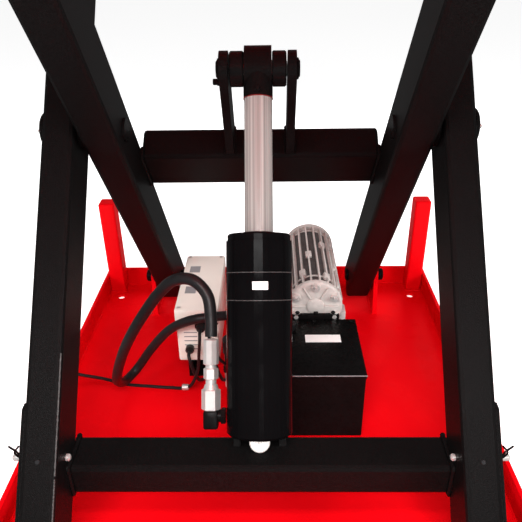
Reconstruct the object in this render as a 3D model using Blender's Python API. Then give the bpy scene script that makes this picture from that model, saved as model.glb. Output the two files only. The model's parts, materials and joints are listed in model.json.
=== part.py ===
"""Single-scissor lift table at its raised stop: base pan, two scissor frames, ram, power pack, platform.

Metres, +Z up, +Y towards the fixed end of the scissors, origin under the middle of the platform.
"""

import math

import bmesh
import bpy
from mathutils import Matrix, Vector

# Scissors
RAISED_ANGLE = math.radians(51.53)
ARM_REACH = 0.600  # centre pivot to end pin
LOWER_OVERHANG = 0.050  # lower end pin to the cut end of the tube
UPPER_OVERHANG = 0.016
ARM_DEPTH = 0.080
ARM_WALL = 0.004
OUTER_ARM_X = (0.2634, 0.310)
INNER_ARM_X = (0.200, 0.2534)
CORNER_RADIUS = 0.006
END_PIN_RADIUS = 0.014
PIVOT_PIN_RADIUS = 0.018
ROLLER_RADIUS = 0.042
ROLLER_X = (0.3185, 0.350)
UPPER_ROLLER_X = (0.258, 0.290)

# Heights and ends
BASE_PIN_Z = 0.092
FIXED_PINS_Y = 0.5708
PLATFORM_PIN_DROP = 0.046  # deck underside to its hinge pins
GAP = 0.0003  # between pieces that touch

# Base pan
FLOOR_THICKNESS = 0.006
BASE_HALF_WIDTH = 0.406
BASE_FAR_Y = 0.681
BASE_NEAR_Y = -0.684
WALL_THICKNESS = 0.008
WALL_TOP_Z = 0.053
WALL_EDGE = 0.0015
TRACK_X = (0.3165, 0.356)
TRACK_NEAR_INSET = 0.020
TRACK_FAR_Y = 0.020
POST_SIDE = 0.038
POST_TOP_Z = 0.2514
POST_EDGE = 0.004
FLOOR_HOLE_RADIUS = 0.009
FLOOR_HOLE_X = 0.366
FLOOR_HOLE_INSET = 0.070
BRACKET_X = (0.2585, 0.2685)
BRACKET_HALF_FOOT = 0.045
BRACKET_RADIUS = 0.030

# Power pack
TANK_LOW = (0.020, 0.130)
TANK_HIGH = (0.180, 0.299)
TANK_TOP_Z = 0.148
SHEET = 0.003  # wall of the tank and of the control box
TANK_EDGE = 0.002
PUMP_X = (0.062, 0.158)
PUMP_Y = (0.2993, 0.4000)
PUMP_Z = (0.050, 0.105)
PUMP_EDGE = 0.003
PUMP_FOOT_RADIUS = 0.030
MOTOR_Y = (0.3105, 0.5550)
MOTOR_X = 0.103
MOTOR_Z = 0.172
MOTOR_RADIUS = 0.047
FIN_TIP_RADIUS = 0.055
FIN_COUNT = 20
FIN_HALF_ANGLE = 1.8  # degrees
MOTOR_FEET_HALF_WIDTH = 0.045
MOTOR_FEET_Y = (0.430, 0.530)
MOTOR_FEET_TOP_Z = 0.135
SHIELD_THICKNESS = 0.0117
SHIELD_RADIUS = 0.0535
SHIELD_SPIGOT_RADIUS = 0.050
CONTROL_BOX_LOW = (-0.170, 0.284, 0.059)
CONTROL_BOX_HIGH = (-0.088, 0.503, 0.180)
CONTROL_BOX_EDGE = 0.004
STAND_X = (-0.155, -0.105)
STAND_Y = (0.300, 0.490)
STAND_TOP_Z = 0.150
STAND_SHEET = 0.005
GLAND_X = -0.120
GLAND_Z = 0.150
COIL_Z = 0.086
COIL_RADIUS = 0.016
COIL_STEM_RADIUS = 0.009
COIL_LENGTH = 0.026
COIL_STEM_LENGTH = 0.010

# Flexible lines
HOSE_RADIUS = 0.009
HOSE_SPACING = 0.026
HOSE_ROUTE = [
    (-0.0700, 0.0275, 0.3062), (-0.0705, 0.0430, 0.3310), (-0.0760, 0.0600, 0.3570), (-0.0980, 0.0740, 0.3740),
    (-0.1280, 0.0860, 0.3660), (-0.1560, 0.1000, 0.3340), (-0.1830, 0.1101, 0.2933), (-0.2082, 0.1196, 0.2506),
    (-0.2315, 0.1342, 0.2037), (-0.2509, 0.1536, 0.1552), (-0.2658, 0.1737, 0.1113), (-0.2761, 0.2064, 0.0713),
    (-0.2775, 0.2513, 0.0340), (-0.2581, 0.2850, 0.0392), (-0.2231, 0.2840, 0.0907), (-0.1789, 0.2680, 0.1481),
    (-0.1320, 0.2500, 0.1820), (-0.0820, 0.2560, 0.1860), (-0.0300, 0.2800, 0.1740), (0.0060, 0.3130, 0.1500),
    (0.0230, 0.3320, 0.1200), (0.0340, 0.3420, 0.0960), (0.0470, 0.3450, 0.0880), (0.0606, 0.3450, 0.0880),
]
CABLE_RADIUS = 0.0032
CABLE_SPACING = 0.010
CABLE_ROUTE = [
    (-0.3940, 0.2900, 0.0220), (-0.3700, 0.2900, 0.0160), (-0.3300, 0.2850, 0.0115), (-0.2800, 0.2680, 0.0112),
    (-0.2300, 0.2620, 0.0112), (-0.1900, 0.2580, 0.0112), (-0.1500, 0.2500, 0.0200), (-0.1300, 0.2480, 0.0600),
    (-0.1230, 0.2440, 0.1100), (-0.1200, 0.2440, 0.1400), (-0.1200, 0.2520, 0.1500), (-0.1200, 0.2610, 0.1500),
]

# Platform
PLATFORM_HALF_LENGTH = 0.7025
PLATFORM_HALF_WIDTH = 0.430
DECK_THICKNESS = 0.005
DECK_EDGE = 0.001
SKIRT_THICKNESS = 0.005
SKIRT_DEPTH = 0.055
RAIL_X = (0.3153, 0.3253)
RAIL_DEPTH = 0.030
RAIL_NEAR_INSET = 0.050
RAIL_EYE_RADIUS = 0.026
RAIL_FLARE = (-0.060, -0.030)  # where the rail starts to deepen towards its eye, and where it meets it
RAIL_FLARE_Z = -0.022

# Ram
FOOT_ALONG = -0.430  # on the outer frame, from the centre pivot
FOOT_NORMAL = -0.038
EYE_ALONG = -0.045  # on the inner frame, from the centre pivot
EYE_NORMAL = 0.0725
FOOT_PIN_RADIUS = 0.010
FOOT_PIN_HALF_LENGTH = 0.0405
FOOT_SLOT_X = (0.0263, 0.0415)
FOOT_SLOT_END = 0.0225
FOOT_SLOT_FRONT = 0.0205
BARREL_RADIUS = 0.0475
BARREL_SPAN = (-0.014, 0.262)  # measured along the ram from its foot pin
BARREL_EDGE = 0.004
BORE_START = 0.034
GLAND_TOP = 0.272
GLAND_RADIUS = 0.0455
ROD_START = 0.1345
ROD_RADIUS = 0.0205
NECK_LENGTH = 0.045  # rod's end to the eye's centre
NECK_RADIUS = 0.0215
EYE_HALF_WIDTH = 0.020
EYE_REACH = 0.034  # from the eye's centre to the end of the ram
EYE_HALF_HEIGHT = 0.024
EYE_PIN_RADIUS = 0.0125
EYE_PIN_HALF_LENGTH = 0.0425
EAR_X = (0.0435, 0.0565)
EAR_RADIUS = 0.026
EAR_FOOT = (0.096, 0.107, 0.188)  # along the inner frame: front edge, notch, far end
EAR_FRONT_NORMAL = 0.024
FITTING_X = -0.070
FITTING_PROFILE = [
    (0.006, 0), (0.006, 0.009), (0.020, 0.0105), (0.0201, 0.0135), (0.048, 0.0135), (0.0481, 0.0105), (0.061, 0.0105),
    (0.0611, 0.0112), (0.080, 0.0112), (0.0801, 0.0108), (0.1215, 0.0108), (0.1215, 0),
]
PORT_ALONG = 0.0135
PORT_RADIUS = 0.009
PORT_END_X = -0.0480

# Lugs on the outer cross tube for the ram's foot, as (Y, Z) points
LUG_X = (0.0273, 0.0373)
LUG_RADIUS = 0.018
LUG_ARC = (-60, 200)
LUG_FOOT = [(-0.0640, 0.1820), (-0.0445, 0.1820)]

# Cross tubes: centre along and off their own frame, then size
OUTER_TUBE = (-0.4856, -0.0403, 0.061, 0.050)
INNER_TUBE = (0.153, 0.049, 0.090, 0.057)

# Pins: their X spans and ends
BASE_HINGE_PIN_X = (0.194, 0.283)
UPPER_AXLE_X = (0.196, 0.294)
BASE_AXLE_X = (0.259, 0.360)
PLATFORM_PIN_X = (0.259, 0.332)
LOCK_PIN_X = (0.258, 0.337)
LOCK_PIN_RADIUS = 0.005
LOCK_PIN_ALONG = -0.470
PIN_CHAMFER = 0.002
PIVOT_PIN_PROFILE = [
    (0.196, 0), (0.196, PIVOT_PIN_RADIUS), (0.314, PIVOT_PIN_RADIUS), (0.314, 0.026), (0.318, 0.026), (0.320, 0.023),
    (0.320, 0),
]
DOUBLER_X = (0.3103, 0.3153)
DOUBLER_OUTLINE = [(-0.645, -0.034), (-0.645, 0.034), (-0.404, 0.034), (-0.396, 0.026), (-0.396, -0.034)]
ROLLER_EDGE = 0.003

SIDES = ((-1, "left"), (1, "right"))
OVERSHOOT = 0.010  # how far a cutter runs past the wall that it cuts
BORE_SIDES = 24
SMALL_ROUND = 20
ROUND = 32
FINE_ROUND = 48


def material(name, colour, roughness, metallic):
    """One Principled material."""
    made = bpy.data.materials.new(name)
    made.use_nodes = True
    shader = made.node_tree.nodes["Principled BSDF"]
    shader.inputs["Base Color"].default_value = (*colour, 1)
    shader.inputs["Roughness"].default_value = roughness
    shader.inputs["Metallic"].default_value = metallic
    made.diffuse_color = (*colour, 1)
    return made


def frame_at(name, y, z, angle=0.0):
    """An empty on a joint's axis, turned so that its Y runs along the pieces that it carries."""
    frame = bpy.data.objects.new(name, None)
    frame.matrix_world = Matrix.Translation((0, y, z)) @ Matrix.Rotation(angle, 4, "X")
    bpy.context.scene.collection.objects.link(frame)
    return frame


def add(name, bm, finish, frame=None, smooth=False):
    """The bmesh as an object, carried by its frame's empty."""
    bmesh.ops.recalc_face_normals(bm, faces=bm.faces)
    mesh = bpy.data.meshes.new(name)
    bm.to_mesh(mesh)
    bm.free()
    if smooth:
        mesh.shade_smooth()
        mesh.set_sharp_from_angle(angle=math.radians(35))
    mesh.materials.append(finish)
    obj = bpy.data.objects.new(name, mesh)
    obj.parent = frame
    bpy.context.scene.collection.objects.link(obj)
    return obj


def box_mesh(low, high):
    """A box between two corners."""
    bm = bmesh.new()
    size = Vector(high) - Vector(low)
    middle = (Vector(high) + Vector(low)) / 2
    bmesh.ops.create_cube(bm, size=1, matrix=Matrix.Translation(middle) @ Matrix.Diagonal((*size, 1)))
    return bm


def box(name, low, high, finish, frame=None, bevel=0.0):
    """A box whose edges are rounded by bevel."""
    obj = add(name, box_mesh(low, high), finish, frame, smooth=bevel > 0)
    if bevel:
        rounding = obj.modifiers.new("rounded_edges", "BEVEL")
        rounding.width = bevel
        rounding.segments = 2
    return obj


def cylinder_mesh(radius, start, end, sides=ROUND):
    """A cylinder between two points."""
    bm = bmesh.new()
    start, end = Vector(start), Vector(end)
    along = end - start
    place = Matrix.Translation((start + end) / 2) @ along.to_track_quat("Z", "Y").to_matrix().to_4x4()
    bmesh.ops.create_cone(
        bm, cap_ends=True, segments=sides, radius1=radius, radius2=radius, depth=along.length, matrix=place
    )
    return bm


def cylinder(name, radius, start, end, finish, frame=None, sides=ROUND):
    return add(name, cylinder_mesh(radius, start, end, sides), finish, frame, smooth=True)


def turned(name, profile, finish, frame=None, axis="X", centre=(0, 0, 0), sides=ROUND):
    """A solid of revolution. The profile lists (position along the axis, radius), starting and ending at 0."""
    bm = bmesh.new()
    points = [bm.verts.new((radius, 0, along)) for along, radius in profile]
    edges = [bm.edges.new(pair) for pair in zip(points, points[1:])]
    bmesh.ops.spin(
        bm, geom=points + edges, cent=(0, 0, 0), axis=(0, 0, 1), angle=math.tau, steps=sides, use_merge=True
    )
    bmesh.ops.remove_doubles(bm, verts=bm.verts, dist=1e-6)
    turn = {"X": Matrix.Rotation(math.pi / 2, 4, "Y"), "Y": Matrix.Rotation(-math.pi / 2, 4, "X")}
    bmesh.ops.transform(bm, matrix=Matrix.Translation(centre) @ turn[axis], verts=bm.verts)
    return add(name, bm, finish, frame, smooth=True)


def plate(name, outline, span, finish, frame=None, axis="X"):
    """A flat outline given depth along X, as (Y, Z) corners, or along Y, as (X, Z) corners."""
    bm = bmesh.new()
    start, depth = span[0], span[1] - span[0]
    if axis == "X":
        corners = [(start, a, b) for a, b in outline]
        step = (depth, 0, 0)
    else:
        corners = [(a, start, b) for a, b in outline]
        step = (0, depth, 0)
    face = bm.faces.new([bm.verts.new(corner) for corner in corners])
    out = bmesh.ops.extrude_face_region(bm, geom=[face])
    moved = [v for v in out["geom"] if isinstance(v, bmesh.types.BMVert)]
    bmesh.ops.translate(bm, verts=moved, vec=step)
    return add(name, bm, finish, frame)


def cut(obj, bm, frame=None):
    """Takes the shape away from the object."""
    cutter = add(obj.name + "_cutter", bm, obj.data.materials[0], frame)
    cutter.hide_render = True
    cutter.display_type = "WIRE"
    opening = obj.modifiers.new("opening", "BOOLEAN")
    opening.operation = "DIFFERENCE"
    opening.solver = "EXACT"
    opening.object = cutter


def bore(obj, radius, x_span, along, normal=0.0, frame=None):
    """A running bore across X for a pin of this radius."""
    start = (x_span[0] - OVERSHOOT, along, normal)
    end = (x_span[1] + OVERSHOOT, along, normal)
    cut(obj, cylinder_mesh(radius + GAP, start, end, BORE_SIDES), frame)


def join(obj, bm, frame=None):
    """Adds the shape to the object as one body."""
    added = add(obj.name + "_added", bm, obj.data.materials[0], frame)
    added.hide_render = True
    added.display_type = "WIRE"
    union = obj.modifiers.new("joined", "BOOLEAN")
    union.operation = "UNION"
    union.solver = "EXACT"
    union.object = added


def arc(centre, radius, start, end, steps=8):
    """Points round an arc, with its angles in degrees."""
    turns = [math.radians(start + (end - start) * i / steps) for i in range(steps + 1)]
    return [(centre[0] + radius * math.cos(a), centre[1] + radius * math.sin(a)) for a in turns]


def smooth_route(points, spacing):
    """Evenly spaced points on a Catmull-Rom curve through the route's own points."""
    points = [Vector(p) for p in points]
    padded = [2 * points[0] - points[1], *points, 2 * points[-1] - points[-2]]
    dense = []
    for a, b, c, d in zip(padded, padded[1:], padded[2:], padded[3:]):
        for i in range(24):
            t = i / 24
            dense.append(
                0.5 * (2 * b + (c - a) * t + (2 * a - 5 * b + 4 * c - d) * t**2 + (3 * b - a - 3 * c + d) * t**3)
            )
    dense.append(points[-1])
    kept = [dense[0]]
    for point in dense[1:-1]:
        if (point - kept[-1]).length >= spacing:
            kept.append(point)
    return [*kept, dense[-1]]


def tube(name, points, radius, finish):
    """A flexible line along a route."""
    curve = bpy.data.curves.new(name, "CURVE")
    curve.dimensions = "3D"
    curve.bevel_depth = radius
    curve.bevel_resolution = 2
    curve.use_fill_caps = True
    spline = curve.splines.new("POLY")
    spline.points.add(len(points) - 1)
    for target, point in zip(spline.points, points):
        target.co = (*point, 1)
    curve.materials.append(finish)
    obj = bpy.data.objects.new(name, curve)
    bpy.context.scene.collection.objects.link(obj)
    return obj


def mirrored(span, side):
    """An X span on the left (-1) or the right (+1)."""
    return tuple(sorted(side * x for x in span))


def pin(name, x_span, radius, finish, frame=None, centre=(0, 0, 0), sides=ROUND):
    """A plain pin across X with chamfered ends."""
    start, end = x_span
    small = radius - PIN_CHAMFER
    profile = [(start, 0), (start, small), (start + PIN_CHAMFER, radius), (end - PIN_CHAMFER, radius), (end, small),
               (end, 0)]
    return turned(name, profile, finish, frame, centre=centre, sides=sides)


for old in list(bpy.data.objects):
    bpy.data.objects.remove(old)

RED = material("red_gloss_paint", (0.62, 0.008, 0.012), 0.25, 0.0)
BLACK = material("black_textured_paint", (0.018, 0.018, 0.019), 0.5, 0.0)
GLOSS = material("black_gloss_paint", (0.008, 0.008, 0.009), 0.2, 0.0)
CHROME = material("hard_chrome", (0.75, 0.75, 0.76), 0.12, 1.0)
ZINC = material("zinc_plate", (0.62, 0.63, 0.64), 0.3, 1.0)
ALUMINIUM = material("cast_aluminium", (0.6, 0.6, 0.58), 0.45, 1.0)
CREAM = material("cream_enamel", (0.72, 0.69, 0.62), 0.4, 0.0)
RUBBER = material("black_rubber", (0.015, 0.015, 0.015), 0.6, 0.0)
STEEL = material("machined_steel", (0.4, 0.4, 0.4), 0.35, 1.0)

SINE, COSINE = math.sin(RAISED_ANGLE), math.cos(RAISED_ANGLE)
PIVOT = Vector((FIXED_PINS_Y - ARM_REACH * COSINE, BASE_PIN_Z + ARM_REACH * SINE))
PLATFORM_PIN_Z = BASE_PIN_Z + 2 * ARM_REACH * SINE
DECK_UNDERSIDE = PLATFORM_PIN_Z + PLATFORM_PIN_DROP
ALONG_OUTER, ACROSS_OUTER = Vector((COSINE, SINE)), Vector((-SINE, COSINE))
ALONG_INNER, ACROSS_INNER = Vector((COSINE, -SINE)), Vector((SINE, COSINE))
FOOT = PIVOT + FOOT_ALONG * ALONG_OUTER + FOOT_NORMAL * ACROSS_OUTER
EYE = PIVOT + EYE_ALONG * ALONG_INNER + EYE_NORMAL * ACROSS_INNER
RAM_LENGTH = (EYE - FOOT).length
RAM_ANGLE = math.atan2(EYE.y - FOOT.y, EYE.x - FOOT.x)
GROUND = FLOOR_THICKNESS + GAP  # underside of everything that stands on the pan floor

INNER = frame_at("inner_frame_axis", FIXED_PINS_Y, BASE_PIN_Z, -RAISED_ANGLE)
OUTER = frame_at("outer_frame_axis", *PIVOT, RAISED_ANGLE)
PLATFORM = frame_at("platform_axis", FIXED_PINS_Y, PLATFORM_PIN_Z)
RAM = frame_at("ram_axis", *FOOT, RAM_ANGLE)


def arm(name, x_span, frame, centre, overhangs, bores):
    """A rectangular tube with its pin bores. The centre is where the centre pivot lies along the frame."""
    start, end = centre - ARM_REACH - overhangs[0], centre + ARM_REACH + overhangs[1]
    depth = ARM_DEPTH / 2
    made = box(name, (x_span[0], start, -depth), (x_span[1], end, depth), BLACK, frame, CORNER_RADIUS)
    inside = box_mesh(
        (x_span[0] + ARM_WALL, start - OVERSHOOT, -depth + ARM_WALL),
        (x_span[1] - ARM_WALL, end + OVERSHOOT, depth - ARM_WALL),
    )
    cut(made, inside, frame)
    for along, radius in bores:
        bore(made, radius, x_span, centre + along, frame=frame)


def cross_tube(name, half_length, centre, size, frame, turn=0.0):
    """A square-cut tube between two arms, turned about its own length."""
    halves = [side / 2 for side in size]
    made = box(name, (-half_length, -halves[0], -halves[1]), (half_length, halves[0], halves[1]), BLACK, frame,
               CORNER_RADIUS)
    made.matrix_local = Matrix.Translation((0, *centre)) @ Matrix.Rotation(turn, 4, "X")
    inner = [half - ARM_WALL for half in halves]
    reach = half_length + OVERSHOOT
    hollow = box_mesh((-reach, -inner[0], -inner[1]), (reach, inner[0], inner[1]))
    bmesh.ops.transform(hollow, matrix=made.matrix_local, verts=hollow.verts)
    cut(made, hollow, frame)


def roller(name, x_span, frame, along, radius):
    """A turned roller with a running bore."""
    start, end = x_span
    rim = radius - ROLLER_EDGE
    profile = [(start, 0), (start, rim), (start + ROLLER_EDGE, radius), (end - ROLLER_EDGE, radius), (end, rim),
               (end, 0)]
    wheel = turned(name, profile, STEEL, frame, centre=(0, along, 0), sides=FINE_ROUND)
    bore(wheel, END_PIN_RADIUS, x_span, along, frame=frame)


def make_base():
    """Folded pan, end walls, roller tracks, posts that the lowered platform rests on, hinge brackets."""
    floor = box("base_floor", (-BASE_HALF_WIDTH, BASE_NEAR_Y, 0), (BASE_HALF_WIDTH, BASE_FAR_Y, FLOOR_THICKNESS), RED)
    for x in (-FLOOR_HOLE_X, FLOOR_HOLE_X):
        for y in (BASE_NEAR_Y + FLOOR_HOLE_INSET, BASE_FAR_Y - FLOOR_HOLE_INSET):
            hole = cylinder_mesh(FLOOR_HOLE_RADIUS, (x, y, -OVERSHOOT), (x, y, FLOOR_THICKNESS + OVERSHOOT), BORE_SIDES)
            cut(floor, hole)
    inside = BASE_HALF_WIDTH - WALL_THICKNESS - GAP
    for name, y_span in (("base_wall_far", (BASE_FAR_Y - WALL_THICKNESS, BASE_FAR_Y)),
                         ("base_wall_near", (BASE_NEAR_Y, BASE_NEAR_Y + WALL_THICKNESS))):
        box(name, (-inside, y_span[0], GROUND), (inside, y_span[1], WALL_TOP_Z), RED, bevel=WALL_EDGE)
    for side, hand in SIDES:
        make_base_side(side, hand, inside)


def make_base_side(side, hand, inside):
    """The pan's wall, roller track, rest post and hinge bracket on one side."""
    x = mirrored((BASE_HALF_WIDTH - WALL_THICKNESS, BASE_HALF_WIDTH), side)
    box(f"base_wall_{hand}", (x[0], BASE_NEAR_Y, GROUND), (x[1], BASE_FAR_Y, WALL_TOP_Z), RED, bevel=WALL_EDGE)
    x = mirrored(TRACK_X, side)
    top = BASE_PIN_Z - ROLLER_RADIUS - GAP
    box(f"roller_track_{hand}", (x[0], BASE_NEAR_Y + TRACK_NEAR_INSET, GROUND), (x[1], TRACK_FAR_Y, top), RED,
        bevel=WALL_EDGE)
    x = mirrored((inside - POST_SIDE, inside), side)
    far = BASE_FAR_Y - WALL_THICKNESS - GAP
    box(f"rest_post_{hand}", (x[0], far - POST_SIDE, GROUND), (x[1], far, POST_TOP_Z), RED, bevel=POST_EDGE)
    outline = [(FIXED_PINS_Y - BRACKET_HALF_FOOT, GROUND), (FIXED_PINS_Y + BRACKET_HALF_FOOT, GROUND)]
    outline += arc((FIXED_PINS_Y, BASE_PIN_Z), BRACKET_RADIUS, 0, 180)
    x = mirrored(BRACKET_X, side)
    bracket = plate(f"hinge_bracket_{hand}", outline, x, RED)
    bore(bracket, END_PIN_RADIUS, x, FIXED_PINS_Y, BASE_PIN_Z)
    pin(f"base_hinge_pin_{hand}", mirrored(BASE_HINGE_PIN_X, side), END_PIN_RADIUS, ZINC,
        centre=(0, FIXED_PINS_Y, BASE_PIN_Z))


def make_power_pack():
    """Oil tank, pump block with its valve coil, finned motor, control box on its stand, hose and cable."""
    tank = box("oil_tank", (*TANK_LOW, GROUND), (*TANK_HIGH, TANK_TOP_Z), BLACK, bevel=TANK_EDGE)
    cut(tank, box_mesh((*(v + SHEET for v in TANK_LOW), -OVERSHOOT),
                       (*(v - SHEET for v in TANK_HIGH), TANK_TOP_Z - SHEET)))
    pump = box("pump_block", (PUMP_X[0], PUMP_Y[0], PUMP_Z[0]), (PUMP_X[1], PUMP_Y[1], PUMP_Z[1]), BLACK,
               bevel=PUMP_EDGE)
    middle = (sum(PUMP_X) / 2, sum(PUMP_Y) / 2)
    join(pump, cylinder_mesh(PUMP_FOOT_RADIUS, (*middle, GROUND), (*middle, PUMP_Z[0] + OVERSHOOT), SMALL_ROUND))
    start = PUMP_X[1] + GAP
    stem = start + COIL_LENGTH
    turned("solenoid_coil",
           [(start, 0), (start, COIL_RADIUS), (stem, COIL_RADIUS), (stem, COIL_STEM_RADIUS),
            (stem + COIL_STEM_LENGTH, COIL_STEM_RADIUS), (stem + COIL_STEM_LENGTH, 0)],
           RUBBER, centre=(0, middle[1], COIL_Z), sides=SMALL_ROUND)
    make_motor()
    make_control_box()
    tube("hydraulic_hose", smooth_route(HOSE_ROUTE, HOSE_SPACING), HOSE_RADIUS, RUBBER)
    tube("supply_cable", smooth_route(CABLE_ROUTE, CABLE_SPACING), CABLE_RADIUS, RUBBER)


def make_motor():
    """A finned body on its feet, and its near end shield."""
    outline = []
    for i in range(FIN_COUNT):
        middle = 360 * (i + 0.5) / FIN_COUNT
        outline += arc((MOTOR_X, MOTOR_Z), MOTOR_RADIUS, middle - 180 / FIN_COUNT, middle - FIN_HALF_ANGLE, 3)[1:]
        outline += arc((MOTOR_X, MOTOR_Z), FIN_TIP_RADIUS, middle - FIN_HALF_ANGLE, middle + FIN_HALF_ANGLE, 1)
        outline += arc((MOTOR_X, MOTOR_Z), MOTOR_RADIUS, middle + FIN_HALF_ANGLE, middle + 180 / FIN_COUNT, 3)
    body = plate("motor_body", outline, (MOTOR_Y[0] + SHIELD_THICKNESS + GAP, MOTOR_Y[1]), ALUMINIUM, axis="Y")
    feet = box_mesh((MOTOR_X - MOTOR_FEET_HALF_WIDTH, MOTOR_FEET_Y[0], GROUND),
                    (MOTOR_X + MOTOR_FEET_HALF_WIDTH, MOTOR_FEET_Y[1], MOTOR_FEET_TOP_Z))
    join(body, feet)
    near, far = MOTOR_Y[0], MOTOR_Y[0] + SHIELD_THICKNESS
    turned("motor_end_shield",
           [(near, 0), (near, SHIELD_SPIGOT_RADIUS), (near + SHEET, SHIELD_RADIUS), (far, SHIELD_RADIUS), (far, 0)],
           ALUMINIUM, axis="Y", centre=(MOTOR_X, 0, MOTOR_Z))


def make_control_box():
    """A shell open underneath, on an angle stand, with the gland that its supply cable enters."""
    shell = box("control_box", CONTROL_BOX_LOW, CONTROL_BOX_HIGH, CREAM, bevel=CONTROL_BOX_EDGE)
    x_low, y_low, z_low = CONTROL_BOX_LOW
    x_high, y_high, z_high = CONTROL_BOX_HIGH
    cut(shell, box_mesh((x_low + SHEET, y_low + SHEET, z_low - OVERSHOOT),
                        (x_high - SHEET, y_high - SHEET, z_high - SHEET)))
    back, front = STAND_X
    foot_top = GROUND + STAND_SHEET
    plate("control_box_stand",
          [(back, GROUND), (front, GROUND), (front, foot_top), (back + STAND_SHEET, foot_top),
           (back + STAND_SHEET, STAND_TOP_Z), (back, STAND_TOP_Z)], STAND_Y, BLACK, axis="Y")
    end = y_low - GAP
    turned("cable_gland",
           [(end - 0.0217, 0), (end - 0.0217, 0.007), (end - 0.0177, 0.009), (end - 0.0097, 0.009),
            (end - 0.0097, 0.012), (end, 0.012), (end, 0)],
           RUBBER, axis="Y", centre=(GLAND_X, 0, GLAND_Z), sides=SMALL_ROUND)


def make_inner_frame():
    """The frame hinged to the base at its far end: arms, cross tube, ears for the rod eye, pins."""
    centre = -ARM_REACH
    tube_top = INNER_TUBE[1] + INNER_TUBE[3] / 2 + GAP
    front, notch, far = EAR_FOOT
    outline = [(front, EAR_FRONT_NORMAL), (notch, EAR_FRONT_NORMAL), (notch, tube_top), (far, tube_top)]
    outline += arc((EYE_ALONG, EYE_NORMAL), EAR_RADIUS, 72, 255, 12)
    outline = [(centre + along, normal) for along, normal in outline]
    for side, hand in SIDES:
        arm(f"inner_arm_{hand}", mirrored(INNER_ARM_X, side), INNER, centre, (UPPER_OVERHANG, LOWER_OVERHANG),
            [(ARM_REACH, END_PIN_RADIUS), (-ARM_REACH, END_PIN_RADIUS), (0, PIVOT_PIN_RADIUS)])
        plate(f"rod_eye_ear_{hand}", outline, mirrored(EAR_X, side), BLACK, INNER)
        headed = [(side * x, radius) for x, radius in PIVOT_PIN_PROFILE]
        turned(f"pivot_pin_{hand}", headed, BLACK, INNER, centre=(0, centre, 0))
        pin(f"upper_roller_axle_{hand}", mirrored(UPPER_AXLE_X, side), END_PIN_RADIUS, ZINC, INNER,
            centre=(0, centre - ARM_REACH, 0))
        roller(f"upper_roller_{hand}", mirrored(UPPER_ROLLER_X, side), INNER, centre - ARM_REACH,
               PLATFORM_PIN_DROP - GAP)
    cross_tube("inner_cross_tube", INNER_ARM_X[0] - GAP, (centre + INNER_TUBE[0], INNER_TUBE[1]), INNER_TUBE[2:],
               INNER)


def on_outer_frame(y, z):
    """A world (Y, Z) point as a place along and off the outer frame."""
    offset = Vector((y, z)) - PIVOT
    return offset.dot(ALONG_OUTER), offset.dot(ACROSS_OUTER)


def make_outer_frame():
    """The frame pinned to the platform's far end: arms, cross tube, ram foot lugs, doubler plates, pins."""
    lug_outline = [on_outer_frame(y, z) for y, z in arc(FOOT, LUG_RADIUS, *LUG_ARC, 12) + LUG_FOOT]
    for side, hand in SIDES:
        arm(f"outer_arm_{hand}", mirrored(OUTER_ARM_X, side), OUTER, 0.0, (LOWER_OVERHANG, UPPER_OVERHANG),
            [(ARM_REACH, END_PIN_RADIUS), (-ARM_REACH, END_PIN_RADIUS), (0, PIVOT_PIN_RADIUS),
             (LOCK_PIN_ALONG, LOCK_PIN_RADIUS)])
        doubler_x = mirrored(DOUBLER_X, side)
        doubler = plate(f"doubler_plate_{hand}", DOUBLER_OUTLINE, doubler_x, BLACK, OUTER)
        bore(doubler, LOCK_PIN_RADIUS, doubler_x, LOCK_PIN_ALONG, frame=OUTER)
        bore(doubler, END_PIN_RADIUS, doubler_x, -ARM_REACH, frame=OUTER)
        pin(f"lock_pin_{hand}", mirrored(LOCK_PIN_X, side), LOCK_PIN_RADIUS, ZINC, OUTER,
            centre=(0, LOCK_PIN_ALONG, 0), sides=SMALL_ROUND)
        pin(f"base_roller_axle_{hand}", mirrored(BASE_AXLE_X, side), END_PIN_RADIUS, ZINC, OUTER,
            centre=(0, -ARM_REACH, 0))
        roller(f"base_roller_{hand}", mirrored(ROLLER_X, side), OUTER, -ARM_REACH, ROLLER_RADIUS)
        pin(f"platform_hinge_pin_{hand}", mirrored(PLATFORM_PIN_X, side), END_PIN_RADIUS, ZINC, OUTER,
            centre=(0, ARM_REACH, 0))
        lug_x = mirrored(LUG_X, side)
        lug = plate(f"ram_foot_lug_{hand}", lug_outline, lug_x, BLACK, OUTER)
        bore(lug, FOOT_PIN_RADIUS, lug_x, FOOT_ALONG, FOOT_NORMAL, OUTER)
    cross_tube("outer_cross_tube", OUTER_ARM_X[0] - GAP, OUTER_TUBE[:2], OUTER_TUBE[2:], OUTER, -RAISED_ANGLE)
    pin("ram_foot_pin", (-FOOT_PIN_HALF_LENGTH, FOOT_PIN_HALF_LENGTH), FOOT_PIN_RADIUS, ZINC, OUTER,
        centre=(0, FOOT_ALONG, FOOT_NORMAL), sides=SMALL_ROUND)


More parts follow.
